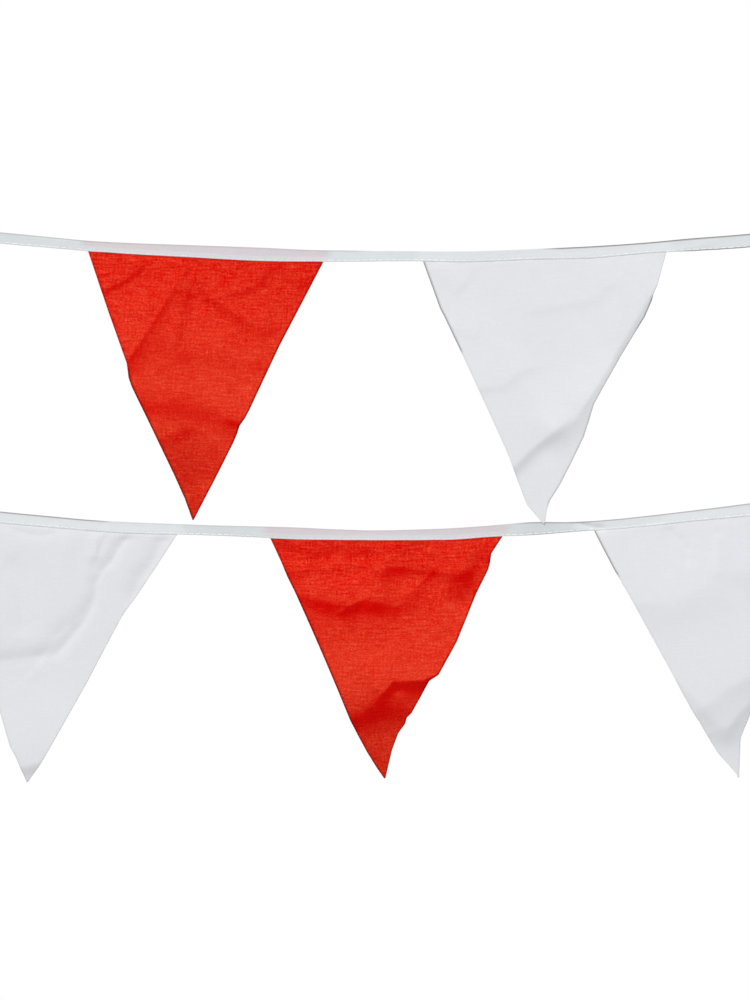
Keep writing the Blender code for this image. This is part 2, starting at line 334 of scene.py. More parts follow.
# A pucker where the tape has twisted, just before the lower right pennant, and small ones along both rows.
TAPE_PUCKERS = [
    Fold([(644, -290), (655, -292.6), (664, -295.2), (672, -296.6), (683, -296.6)], -1.9, 3.0, 4.4, 0.3),
    Fold([(668, -297.6), (688, -296.6), (702, -295.2), (722, -292.8), (748, -289)], -0.45, 4.0, 2.4, 0.3),
    Fold([(160, -10.0), (166, -19.0)], -0.4, 4.0, 4.0, 0.3),
    Fold([(92, -6.0), (160, -12.0)], 0.3, 2.0, 3.0, 0.3),
    Fold([(176, -296.0), (182, -290.0)], -0.4, 3.0, 3.0, 0.3),
    Fold([(392, -22.0), (402, -30.0)], -0.4, 3.0, 4.0, 0.3),
    Fold([(742, -22.0), (800, -8.0)], 0.4, 3.0, 3.0, 0.3),
]

stations = tape_stations()
place = stations[:, :2]
angle, width, full, full_red, grey_fold, grey_foot = stations[:, 2:].T
sections = np.array([tape_section(*station) for station in zip(width, full)])
count, across = sections.shape[:2]
bpy.ops.mesh.primitive_grid_add(x_subdivisions=across - 1, y_subdivisions=count - 1, size=1.0)
tape = bpy.context.object
tape.name = "bias_tape"

along = np.gradient(place, axis=0)
along /= np.linalg.norm(along, axis=1, keepdims=True)
travelled = np.concatenate([[0.0], np.cumsum(np.linalg.norm(np.diff(place, axis=0), axis=1))])
tangent = np.column_stack([along[:, 0], np.zeros(count), along[:, 1]])
upright = np.column_stack([along[:, 1], np.zeros(count), -along[:, 0]])
to_fold = upright * np.cos(angle)[:, None] + np.array([0.0, 1.0, 0.0]) * np.sin(angle)[:, None]
through = np.cross(tangent, to_fold)
middle = np.column_stack([place[:, 0], np.zeros(count), place[:, 1]])
foot_wander = wander(travelled, 55.0, 3.1) * 0.2 * MM
belly = wander(travelled, 80.0, 9.7) * 0.25 * MM
belly *= ease((np.minimum(travelled, travelled[-1] - travelled)) / (20 * MM))


def on_tape(i, a, b):
    """A point of the tape at station i, a towards the fold and b through the thickness, puckers and all."""
    a = a + foot_wander[i] * (a < 0)
    b = b + belly[i] * np.cos(a / width[i] * math.pi)
    point = middle[i] + a[..., None] * to_fold[i] + b[..., None] * through[i]
    point[..., 1] -= relief(TAPE_PUCKERS, point[..., 0], point[..., 2])
    return point


every = np.repeat(np.arange(count), across)
a, b = sections[:, :, 0].ravel(), sections[:, :, 1].ravel()
tape.data.vertices.foreach_set("co", on_tape(every, a, b).ravel())

strip = np.zeros((count, across))
strip[:, 1:] = np.cumsum(np.linalg.norm(np.diff(sections, axis=1), axis=2), axis=1)
lay_on_cut(tape.data, np.column_stack([travelled[every], strip.ravel()]))

# A pennant shows through the tape. Red shows most through its upper part, where the cloth is single.
OVER_WHITE = np.array([1.08, 1.072, 1.078])
OVER_RED = np.array([0.98, 0.862, 0.878])
THROUGH_HEM = 0.35  # share of the red that shows through the hems too
single = THROUGH_HEM + (1 - THROUGH_HEM) * ease((a + width[every] / 2 - 0.88 * HEM) / (0.25 * HEM))
red_share = (full_red[every] * single)[:, None]
white_share = ((full - full_red)[every])[:, None]
backing = np.ones((len(every), 4))
backing[:, :3] += (OVER_RED - 1) * red_share + (OVER_WHITE - 1) * white_share
keep_colour(tape.data, "backing", backing)

GREY_DOWN = 1.0 * MM  # how far down from the fold the tape is grey
GREY_UP = 0.9 * MM  # how far up from its foot
from_fold, from_foot = width[every] / 2 - a, width[every] / 2 + a
grey_top = grey_fold[every] * ease(1.5 - from_fold / GREY_DOWN)
grey_low = grey_foot[every] * ease(1.5 - from_foot / GREY_UP)
keep_number(tape.data, "grey", np.maximum(grey_top, grey_low))
thicken(tape, TAPE_CLOTH)
bpy.ops.object.shade_smooth()


# Woven cotton, for the tape and the pennants alike: a thin plain weave whose threads are uneven, so that pale
# flecks run along and across it. The pattern lies on the cut cloth and follows every crease.
THREADS_PER_METRE = 2400.0
PALER_FROM = -20 * MM  # on the cut cloth, whose seam lies at 0
PALER_TO = -140 * MM


def map_range(nodes, low, high, to_low, to_high):
    """A node that turns low into to_low and high into to_high, and stays between them."""
    node = nodes.new("ShaderNodeMapRange")
    node.inputs["From Min"].default_value = low
    node.inputs["From Max"].default_value = high
    node.inputs["To Min"].default_value = to_low
    node.inputs["To Max"].default_value = to_high
    return node


def colour_mix(nodes, blend="MIX"):
    """A node that blends two colours, all the way unless its factor is linked."""
    node = nodes.new("ShaderNodeMix")
    node.data_type = "RGBA"
    node.blend_type = blend
    node.inputs["Factor"].default_value = 1.0
    return node


def weave_group():
    """Flecks is the share of pale thread at a place, Patches a slow drift, Grain a fine one, and Height the
    surface."""
    group = bpy.data.node_groups.new("cotton_weave", "ShaderNodeTree")
    sockets = group.interface
    sockets.new_socket("Cloth", in_out="INPUT", socket_type="NodeSocketVector")
    sockets.new_socket("Threads per Metre", in_out="INPUT", socket_type="NodeSocketFloat")
    for name in ("Flecks", "Patches", "Grain", "Height"):
        sockets.new_socket(name, in_out="OUTPUT", socket_type="NodeSocketFloat")
    nodes, links = group.nodes, group.links
    given = nodes.new("NodeGroupInput")
    result = nodes.new("NodeGroupOutput")

    def maths(operation, *values):
        node = nodes.new("ShaderNodeMath")
        node.operation = operation
        for socket, value in zip(node.inputs, values):
            if isinstance(value, (int, float)):
                socket.default_value = value
            else:
                links.new(value, socket)
        return node.outputs[0]

    def threads(along, across, detail):
        """Noise with so many threads to the metre along and across the cloth."""
        stretch = nodes.new("ShaderNodeMapping")
        stretch.inputs["Scale"].default_value = (along, across, 1.0)
        links.new(given.outputs["Cloth"], stretch.inputs["Vector"])
        uneven = nodes.new("ShaderNodeTexNoise")
        uneven.inputs["Scale"].default_value = 1.0
        uneven.inputs["Detail"].default_value = detail
        uneven.inputs["Roughness"].default_value = 0.5
        links.new(stretch.outputs[0], uneven.inputs["Vector"])
        return uneven.outputs["Fac"]

    weft = threads(75.0, 450.0, 1.0)
    warp = threads(560.0, 80.0, 1.0)
    grain = threads(420.0, 560.0, 1.0)
    mixed = maths("ADD", maths("MULTIPLY", weft, 0.36), maths("MULTIPLY", warp, 0.24))
    mixed = maths("ADD", mixed, maths("MULTIPLY", grain, 0.40))
    pick = map_range(nodes, 0.31, 0.75, 0.0, 1.0)
    links.new(mixed, pick.inputs["Value"])
    links.new(maths("POWER", pick.outputs[0], 1.8), result.inputs["Flecks"])
    links.new(threads(36.0, 46.0, 3.0), result.inputs["Patches"])
    links.new(threads(1000.0, 1150.0, 0.0), result.inputs["Grain"])

    axes = nodes.new("ShaderNodeSeparateXYZ")
    links.new(given.outputs["Cloth"], axes.inputs[0])
    turns = maths("MULTIPLY", given.outputs["Threads per Metre"], math.pi)
    over = maths("SINE", maths("MULTIPLY", axes.outputs["X"], turns))
    under = maths("SINE", maths("MULTIPLY", axes.outputs["Y"], turns))
    crossing = maths("MULTIPLY", maths("MULTIPLY", over, under), 0.5)
    links.new(maths("ADD", crossing, maths("MULTIPLY", mixed, 2.0)), result.inputs["Height"])
    return group


cotton_weave = weave_group()


def cotton(name, thread, fleck, patchy, grain, fade, bump, edge, sheen):
    """A cotton cloth dyed one colour. thread and fleck are its darkest and palest threads, and edge is the colour
    it greys towards where its grey attribute is set: painted shade at the pennants' tips, and darkened stretches of
    edge and fold. patchy is how much its colour drifts, grain how unevenly light its threads are, fade how much
    paler it is far below the seam, and bump how strongly its weave shows."""
    material = bpy.data.materials.new(name)
    material.use_nodes = True
    nodes, links = material.node_tree.nodes, material.node_tree.links
    shader = nodes["Principled BSDF"]
    shader.inputs["Specular IOR Level"].default_value = 0.04
    shader.inputs["Sheen Weight"].default_value = sheen
    shader.inputs["Sheen Roughness"].default_value = 0.5
    cut = nodes.new("ShaderNodeUVMap")
    cut.uv_map = "cut"
    weave = nodes.new("ShaderNodeGroup")
    weave.node_tree = cotton_weave
    weave.inputs["Threads per Metre"].default_value = THREADS_PER_METRE
    links.new(cut.outputs[0], weave.inputs["Cloth"])
    grey = nodes.new("ShaderNodeAttribute")
    grey.attribute_name = "grey"

    # The share of pale thread: the flecks, more or fewer of them from patch to patch, more far below the seam, and
    # fewer where the grey attribute darkens it: painted shade at the pennants' tips and darkened stretches of edge
    # and fold.
    place_on_cut = nodes.new("ShaderNodeSeparateXYZ")
    links.new(cut.outputs[0], place_on_cut.inputs[0])
    paler = map_range(nodes, PALER_FROM, PALER_TO, -0.5 * patchy, fade - 0.5 * patchy)
    links.new(place_on_cut.outputs["Y"], paler.inputs["Value"])
    drift = nodes.new("ShaderNodeMath")
    drift.operation = "MULTIPLY_ADD"
    drift.inputs[1].default_value = patchy
    links.new(weave.outputs["Patches"], drift.inputs[0])
    links.new(paler.outputs[0], drift.inputs[2])
    deeper = nodes.new("ShaderNodeMath")
    deeper.operation = "SUBTRACT"
    links.new(drift.outputs[0], deeper.inputs[0])
    links.new(grey.outputs["Fac"], deeper.inputs[1])
    share = nodes.new("ShaderNodeMath")
    share.operation = "ADD"
    share.use_clamp = True
    links.new(weave.outputs["Flecks"], share.inputs[0])
    links.new(deeper.outputs[0], share.inputs[1])

    # The colour: dyed, then lighter and darker from thread to thread, then greyed, with painted shade at the
    # pennants' tips.
    dyed = colour_mix(nodes)
    dyed.inputs["A"].default_value = (*thread, 1.0)
    dyed.inputs["B"].default_value = (*fleck, 1.0)
    links.new(share.outputs[0], dyed.inputs["Factor"])
    shade = map_range(nodes, 0.25, 0.75, 1.0 - grain, 1.0 + grain)
    links.new(weave.outputs["Grain"], shade.inputs["Value"])
    grained = colour_mix(nodes, "MULTIPLY")
    links.new(dyed.outputs["Result"], grained.inputs["A"])
    links.new(shade.outputs[0], grained.inputs["B"])
    greyed = colour_mix(nodes)
    greyed.inputs["B"].default_value = (*edge, 1.0)
    links.new(grey.outputs["Fac"], greyed.inputs["Factor"])
    links.new(grained.outputs["Result"], greyed.inputs["A"])
    links.new(greyed.outputs["Result"], shader.inputs["Base Color"])

    rough = map_range(nodes, 0.0, 1.0, 0.96, 0.84)
    links.new(weave.outputs["Flecks"], rough.inputs["Value"])
    links.new(rough.outputs[0], shader.inputs["Roughness"])
    raised = nodes.new("ShaderNodeBump")
    raised.inputs["Strength"].default_value = bump
    raised.inputs["Distance"].default_value = 0.08 * MM
    links.new(weave.outputs["Height"], raised.inputs["Height"])
    links.new(raised.outputs[0], shader.inputs["Normal"])
    return material


def tint_by(material, attribute):
    """Multiplies a material's colour by a colour kept on the mesh."""
    nodes, links = material.node_tree.nodes, material.node_tree.links
    shader = nodes["Principled BSDF"]
    kept = nodes.new("ShaderNodeAttribute")
    kept.attribute_name = attribute
    tinted = colour_mix(nodes, "MULTIPLY")
    links.new(shader.inputs["Base Color"].links[0].from_socket, tinted.inputs["A"])
    links.new(kept.outputs["Color"], tinted.inputs["B"])
    links.new(tinted.outputs["Result"], shader.inputs["Base Color"])


tape_cotton = cotton(
    "tape_cotton",
    thread=(0.707, 0.742, 0.756),
    fleck=(0.767, 0.797, 0.812),
    patchy=0.3,
    grain=0.03,
    fade=0.0,
    bump=0.3,
    edge=(0.22, 0.18, 0.18),
    sheen=0.04,
)
tint_by(tape_cotton, "backing")
tape.data.materials.append(tape_cotton)
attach(tape, "root")
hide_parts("tape")


# The seam: a straight machine stitch in bright white thread that closes the tape near its lower edge, through both
# layers and the pennants between them. Each stitch is a short piece of thread sunk a little into the cloth.
STITCH_PITCH = 3.2 * MM
STITCH_LENGTH = 2.5 * MM
THREAD = 1.0 * MM
SEAM_ABOVE_FOOT = 1.2 * MM
PROUD = 0.08 * MM  # how far the middle of a stitch stands off the cloth
DRAWN_IN = 0.28 * MM  # how much deeper it lies over the red pennants

bpy.ops.mesh.primitive_uv_sphere_add(segments=6, ring_count=5, radius=0.5, location=(0.0, 0.0, 0.0))
stitch = bpy.context.object
stitch.dimensions = (THREAD * 0.5, THREAD, STITCH_LENGTH)
bpy.ops.object.transform_apply(location=False, rotation=False, scale=True)
bpy.ops.object.shade_smooth()
seam_thread = bpy.data.materials.new("seam_thread")
seam_thread.use_nodes = True
nodes, links = seam_thread.node_tree.nodes, seam_thread.node_tree.links
shader = nodes["Principled BSDF"]
shader.inputs["Sheen Weight"].default_value = 0.1
on_thread = nodes.new("ShaderNodeTexCoord")
ply = nodes.new("ShaderNodeTexNoise")
ply.inputs["Scale"].default_value = 2500.0
links.new(on_thread.outputs["Object"], ply.inputs["Vector"])
shine = map_range(nodes, 0.0, 1.0, 0.45, 0.75)
links.new(ply.outputs["Fac"], shine.inputs["Value"])
links.new(shine.outputs[0], shader.inputs["Roughness"])
dulled = nodes.new("ShaderNodeTexNoise")
dulled.inputs["Scale"].default_value = 14.0
dulled.inputs["Detail"].default_value = 5.0
dulled.inputs["Roughness"].default_value = 0.7
links.new(on_thread.outputs["Object"], dulled.inputs["Vector"])
clean = map_range(nodes, 0.36, 0.54, 0.0, 1.0)
links.new(dulled.outputs["Fac"], clean.inputs["Value"])
spun = colour_mix(nodes)
spun.inputs["A"].default_value = (0.78, 0.81, 0.82, 1.0)
spun.inputs["B"].default_value = (1.0, 1.0, 1.0, 1.0)
links.new(clean.outputs[0], spun.inputs["Factor"])
links.new(spun.outputs["Result"], shader.inputs["Base Color"])
stitch.data.materials.append(seam_thread)

stitches = []
for side in (-1, 1):
    for k, s in enumerate(np.arange(4 * MM, travelled[-1] - 3 * MM, STITCH_PITCH)):
        i = int(np.searchsorted(travelled, s))
        lift = noise.noise(Vector((k * 0.37, side, 5.0))) * 0.25 * MM
        height = -width[i] / 2 + SEAM_ABOVE_FOOT + lift
        surface = hem_out(full[i]) + LAYER_STEP - SEWN_DIP + TAPE_CLOTH / 2
        centre = on_tape(i, np.array(height), np.array(side * (surface + PROUD - DRAWN_IN * full_red[i])))
        tilt = noise.noise(Vector((k * 1.7, side, 2.0))) * 0.22
        forward = Vector(tangent[i] + to_fold[i] * tilt).normalized()
        out = Vector(through[i])
        upward = forward.cross(out).normalized()
        longer = 1.0 + 0.4 * noise.noise(Vector((k * 2.3, side, 8.0)))
        turned = Matrix((out, upward, forward * longer)).transposed().to_4x4()
        copy = stitch.copy()
        copy.data = stitch.data.copy()
        copy.matrix_world = Matrix.Translation(centre) @ turned
        bpy.context.collection.objects.link(copy)
        stitches.append(copy)
bpy.data.objects.remove(stitch)
bpy.context.view_layer.update()
bpy.ops.object.select_all(action="DESELECT")
for copy in stitches:
    copy.select_set(True)
bpy.context.view_layer.objects.active = stitches[0]
bpy.ops.object.join()
seam = bpy.context.object
seam.name = "seam_stitching"
bpy.ops.object.transform_apply(location=True, rotation=True, scale=True)
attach(seam, "root")


# The pennants: triangles of thin cotton, cut straight and left unhemmed, with their top edges sewn into the tape.
# Each was folded away, so it hangs with creases.
PENNANT_CLOTH = 0.24 * MM
CELL = 1.35 * MM
INSERT = 8.5 * MM  # of cloth that goes up into the tape
TIP = 0.6 * MM  # half the width of the blunt tip
HELD_FOR = 90 * MM  # how far below the seam the tape still holds the cloth back
FREE_FROM = 8 * MM  # how far below the seam the folds have their full rise
SEAM_STEP = 2.0 * MM  # within which the cloth steps off the tape
PUCKERS_FOR = 9 * MM  # how far below the seam its puckers die away
EDGE_DARK_REACH = 2.0 * MM  # how far in from a cut edge the cloth is darkened
DARK_EDGE_ENDS = 6 * MM  # over which a darkened stretch of the edge fades out
TIP_SHADE_FROM = 0.58  # share of the way down at which the painted shade of the tip starts
FOLD_SHADE_PAINT = 2.6  # how much a fold's slope towards the light changes the painted shade and light
SIDEWAYS = 0.36  # share of that for a slope to the side
PAINTED_DARKEST, PAINTED_PALEST = 0.12, 1.06  # least and most of the painted shade and light on green and blue


def edge_at(corners, down):
    """x and z of a pennant's edge, by straight runs between its corners, at each share of the way down."""
    corners = np.array(corners, dtype=float) * MM
    z = corners[0, 1] + (corners[-1, 1] - corners[0, 1]) * down
    return np.interp(-z, -corners[:, 1], corners[:, 0]), z


def ripple(x, z, waves_across, waves_down, seed):
    """Unevenness over the cloth, with about so many waves to the metre."""
    return np.array([noise.noise(Vector((u * waves_across, v * waves_down, seed))) for u, v in zip(x, z)])


def cut_triangle(name, width, depth):
    """A pennant as it is cut, lying flat with its tip towards -Y, and the y of its seam line."""
    bpy.ops.mesh.primitive_grid_add(
        x_subdivisions=round(width / CELL),
        y_subdivisions=round((depth + INSERT) / CELL),
        size=1.0,
        location=(0.0, 0.0, 0.0),
    )
    cloth = bpy.context.object
    cloth.name = name
    cloth.dimensions = (width, depth + INSERT, 0.0)
    bpy.ops.object.transform_apply(location=False, rotation=False, scale=True)
    bpy.ops.object.mode_set(mode="EDIT")
    foot = -(depth + INSERT) / 2
    seam_line = foot + depth
    for hand in (-1, 1):
        corner = Vector((hand * width / 2, seam_line, 0.0))
        end = Vector((hand * TIP, foot, 0.0))
        outwards = (corner - end).cross(Vector((0.0, 0.0, hand))).normalized()
        bpy.ops.mesh.select_all(action="SELECT")
        bpy.ops.mesh.bisect(plane_co=corner, plane_no=outwards, clear_outer=True)
    bpy.ops.object.mode_set(mode="OBJECT")
    return cloth, seam_line


def hang_pennant(
    name, row, seam_from, seam_to, left, right, tip, tip_out, at_seam, painted_tip_shade, crumple, seed, darkened_edges, folds
):
    """A triangle cut flat, then hung from the row between seam_from and seam_to. left and right are the corners of
    its edges from the seam down to the tip. tip_out is how far forward its tip hangs, and at_seam how far it steps
    forward as it leaves the tape; all these are in mm. painted_tip_shade is how grey the tip is painted, as shade,
    on its left and on its right, and darkened_edges lists (edge, z from, z to, strength) for the darkened stretches
    of its cut edges. crumple is how uneven it is between its folds, in a way of its own for each seed."""
    top_left, top_right = seam_height(row, np.array([seam_from, seam_to]) * MM) / MM
    blunt = TIP / MM
    left = [(seam_from, top_left), *left, (tip[0] - blunt, tip[1])]
    right = [(seam_to, top_right), *right, (tip[0] + blunt, tip[1])]
    width = (seam_to - seam_from) * MM
    depth = ((top_left + top_right) / 2 - tip[1]) * MM

    cloth, seam_line = cut_triangle(name, width, depth)
    count = len(cloth.data.vertices)
    flat = np.empty(count * 3)
    cloth.data.vertices.foreach_get("co", flat)
    flat = flat.reshape(-1, 3)
    lay_on_cut(cloth.data, flat[:, :2] + (seed, -seam_line))

    # Where each point of the cut cloth goes on the hanging triangle.
    down = np.clip((seam_line - flat[:, 1]) / depth, 0.0, 1.0)
    tucked = np.maximum(flat[:, 1] - seam_line, 0.0)
    half = width / 2 + (TIP - width / 2) * down
    across = np.clip((flat[:, 0] / half + 1) / 2, 0.0, 1.0)
    left_x, left_z = edge_at(left, down)
    right_x, right_z = edge_at(right, down)
    x = left_x + (right_x - left_x) * across
    seam_x = (seam_from + (seam_to - seam_from) * across) * MM
    sag = seam_height(row, seam_x) - (top_left + (top_right - top_left) * across) * MM
    z = left_z + (right_z - left_z) * across + sag * (1 - down) ** 2

    # The folds bring it forward, but near the seam the tape holds back the broad part of what they would do there.
    below = np.maximum(seam_height(row, x) - z, 0.0)
    seam_points = np.linspace(seam_from, seam_to, 60) * MM
    broad = np.polyfit(seam_points, relief(folds, seam_points, seam_height(row, seam_points)), 3)
    held_back = np.polyval(broad, x) * (1 - ease(below / HELD_FOR))
    out = (relief(folds, x, z) - held_back) * ease(below / FREE_FROM)
    rough = ripple(x, z, 55, 55, seed)
    fine = ripple(x, z, 120, 140, seed + 7)
    out += (rough * 1.1 + fine * 0.35) * crumple * MM * ease(below / (16 * MM))
    puckers = ripple(x, z, 160, 14, seed + 3)
    out += puckers * 0.3 * MM * ease(below / SEAM_STEP) * np.exp(-below / PUCKERS_FOR)
    out += at_seam * MM * ease(below / SEAM_STEP)
    out += tip_out * MM * down**2
    # The top of the cloth rolls and puckers with the tape that holds it.
    roll = roll_at(row, x)
    out += (tucked - along_row(row, x, 2) / 2) * np.sin(roll)
    z += tucked * np.cos(roll)
    out += relief(TAPE_PUCKERS, x, z)
    hung = np.column_stack([x, -out, z])
    cloth.data.vertices.foreach_set("co", hung.ravel())

    # It is grey towards its tip, as painted shade where the tip hangs back from the light, and along darkened
    # stretches of its cut edges.
    slope = math.cos(math.atan2(width / 2, depth))
    from_edge = {"left": across * 2 * half * slope, "right": (1 - across) * 2 * half * slope}
    grey = np.interp(across, (0.45, 0.85), painted_tip_shade) * ease((down - TIP_SHADE_FROM) / 0.2)
    for edge, start, end, strength in darkened_edges:
        reach = ease((start * MM - z) / DARK_EDGE_ENDS + 1) * ease((z - end * MM) / DARK_EDGE_ENDS + 1)
        grey = np.maximum(grey, strength * reach * np.clip(1 - from_edge[edge] / EDGE_DARK_REACH, 0.0, 1.0))
    keep_number(cloth.data, "grey", grey * (tucked == 0))

    # Painted shade and light: the red's green and blue are raised where a fold looks up and to the left, towards
    # the light, and lowered where it looks away, so the folds' lit and shaded sides are painted into the colour.
    step = 0.5 * MM
    falls = (relief(folds, x, z - step) - relief(folds, x, z + step)) / (2 * step)
    leans = (relief(folds, x + step, z) - relief(folds, x - step, z)) / (2 * step)
    painted_shading = np.clip(1.0 + FOLD_SHADE_PAINT * (falls + SIDEWAYS * leans) * ease(below / FREE_FROM), PAINTED_DARKEST, PAINTED_PALEST)
    keep_colour(cloth.data, "painted_fold_shade", np.column_stack([np.ones(count), painted_shading, painted_shading, np.ones(count)]))

    thicken(cloth, PENNANT_CLOTH)
    bpy.ops.object.mode_set(mode="EDIT")
    bpy.ops.mesh.select_all(action="SELECT")
    bpy.ops.mesh.normals_make_consistent(inside=False)
    bpy.ops.object.mode_set(mode="OBJECT")
    bpy.ops.object.shade_smooth()
    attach(cloth, "root")
    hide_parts(name.replace("cloth", "pennant"))
    return cloth


red_cotton = cotton(
    "red_cotton",
    thread=(0.69, 0.0, 0.0),
    fleck=(0.955, 0.087, 0.036),
    patchy=0.3,
    grain=0.22,
    fade=0.21,
    bump=0.35,
    edge=(0.12, 0.015, 0.0),
    sheen=0.0,
)
# The red's colour is multiplied by the painted shade and light of its folds.
tint_by(red_cotton, "painted_fold_shade")
white_cotton = cotton(
    "white_cotton",
    thread=(0.79, 0.80, 0.825),
    fleck=(0.835, 0.845, 0.87),
    patchy=0.4,
    grain=0.02,
    fade=0.0,
    bump=0.2,
    edge=(0.20, 0.20, 0.20),
    sheen=0.04,
)


# The upper red pennant: creases fan out from a peak below the seam, one of them down to the left edge, and a
# broad soft fold lies across its lower half and nicks its right edge.
upper_red = hang_pennant(
    "cloth_upper_red",
    row="upper",
    seam_from=162.9,
    seam_to=398.5,
    left=[
        (184.6, -83.5), (202.3, -132), (203.3, -140), (204.1, -147), (207, -155.5), (211, -164),
        (237.4, -219.5), (248.8, -243.5), (259.5, -267.5),
    ],
    right=[
        (371, -83.5), (354.4, -115.5), (339.4, -147.5), (324.5, -179.5), (320.2, -187.5), (314.8, -195),
        (311.9, -203.5), (308.4, -211.5), (296.4, -235.5),
    ],
    tip=(267.8, -289),
    tip_out=-4.0,
    at_seam=-0.3,
    # The tip is painted grey as shade where it hangs back from the light.
    painted_tip_shade=(0.15, 0.07),
    crumple=0.2,
    seed=1.0,
    darkened_edges=[
        ("left", -30, -130, 0.45), ("left", -140, -289, 1.0), ("right", -30, -289, 0.7),
        ("right", -188, -196, 1.0),
    ],
    folds=[
        Fold([(266, -28), (257, -42), (248, -57), (231, -86), (221, -102), (211, -116), (190, -145)],
             3.9, 15, 30, 0.3),
        Fold([(270, -26), (262, -36), (252, -51), (234, -81), (218, -107), (207, -124), (196, -140)],
             0.9, 4.0, 2.8, 0.0),
        Fold([(262, -30), (270, -42), (275, -56), (283, -64), (296, -73), (315, -85), (350, -103)],
             2.1, 24, 7.5, 0.5),
        Fold([(256, -22), (266, -34), (272, -43), (277, -55), (285, -63), (300, -74), (326, -92)],
             0.8, 2.6, 5.0, 0.0),
        Fold([(262, -34), (267, -50), (272, -66), (280, -84)], -1.9, 6, 9, 0.3),
        Fold([(266, -44), (256, -80), (250, -100), (251, -116), (264, -134)], 2.3, 7, 14, 0.3),
        Fold([(234, -90), (254, -110), (268, -120), (296, -124), (350, -134)], 1.4, 34, 10, 0.1),
        Fold([(219, -16), (214, -36), (207, -44), (194, -52), (160, -66)], 1.8, 4.5, 24, 0.3),
        Fold([(226, -27), (246, -31), (264, -30)], 0.7, 8, 5, 0.2),
        Fold([(353, -20), (341, -42), (331, -53), (315, -60), (290, -64)], 1.4, 5.5, 20, 0.3),
        Fold([(344, -24), (362, -44), (384, -58)], 0.7, 16, 5, 0.3),
        Fold([(330, -92), (350, -102), (374, -116)], 1.0, 20, 8, 0.2),
        Fold([(160, -70), (200, -80), (246, -76)], 0.8, 16, 10, 0.0),
        Fold([(60, -150), (210, -155), (242, -156), (271, -162), (302, -172), (400, -208)],
             5.6, 130, 28, 0.1),
        Fold([(170, -170), (262, -171), (296, -180), (318, -192), (345, -214)], 1.9, 70, 13, 0.2),
        Fold([(296, -184), (307, -189), (315, -192), (345, -204)], 1.3, 12, 4.5, 0.2),
        Fold([(130, -216), (236, -210), (262, -212), (285, -219), (304, -229), (400, -272)],
             2.6, 26, 48, 0.1),
        Fold([(258, -196), (270, -224), (288, -262)], -2.2, 9, 20, 0.1),
    ],
)
upper_red.data.materials.append(red_cotton)


# The upper white pennant: a sharp fold crosses its lower half and runs up to its right edge, which curls back,
# and its tip hangs in front of the lower row.
upper_white = hang_pennant(
    "cloth_upper_white",
    row="upper",
    seam_from=498,
    seam_to=741.3,
    left=[
        (515.3, -78), (519.3, -85.5), (534.4, -117.5), (549.2, -149.5), (564, -181.5), (571.3, -197.5),
        (582.1, -221.5), (591, -245.5), (600.4, -270), (602.2, -274),
    ],
    right=[
        (732.5, -53.5), (728.8, -61.5), (726.5, -70), (719.8, -85.5), (710, -101.5), (695.4, -125.5),
        (677.2, -157.5), (668.4, -173.5), (663.8, -189.5), (658.7, -205.5), (647.3, -229.5), (635, -253.5),
        (624.9, -269.5), (622.1, -277.5),
    ],
    tip=(619, -293),
    tip_out=1.4,
    at_seam=0.22,
    painted_tip_shade=(0.0, 0.0),
    crumple=0.08,
    seed=2.0,
    darkened_edges=[
        ("left", -30, -118, 1.0), ("left", -118, -262, 0.05), ("right", -68, -96, 0.9),
        ("right", -96, -270, 0.4),
    ],
    folds=[
        Fold([(530, -293), (588, -235), (605, -218), (621, -205), (652, -181)], 3.5, 130, 7.5, 0.2),
        Fold([(614, -216), (640, -196), (654, -184), (710, -134)], 3.4, 26, 15, 0.2),
        Fold([(750, -24), (721, -70), (706, -96), (691, -121), (672, -154), (640, -200)], 2.1, 5.0, 44, 0.1),
        Fold([(590, -82), (630, -74), (652, -71), (672, -65), (681, -55), (704, -44)], 0.7, 40, 7, 0.4),
        Fold([(520, -158), (574, -155), (585, -148), (594, -140), (620, -132)], 1.0, 50, 6, 0.4),
        Fold([(500, -30), (520, -44), (540, -62)], 0.8, 20, 10, 0.2),
        Fold([(520, -92), (534, -98), (556, -106)], 0.5, 12, 6, 0.2),
    ],
)
upper_white.data.materials.append(white_cotton)


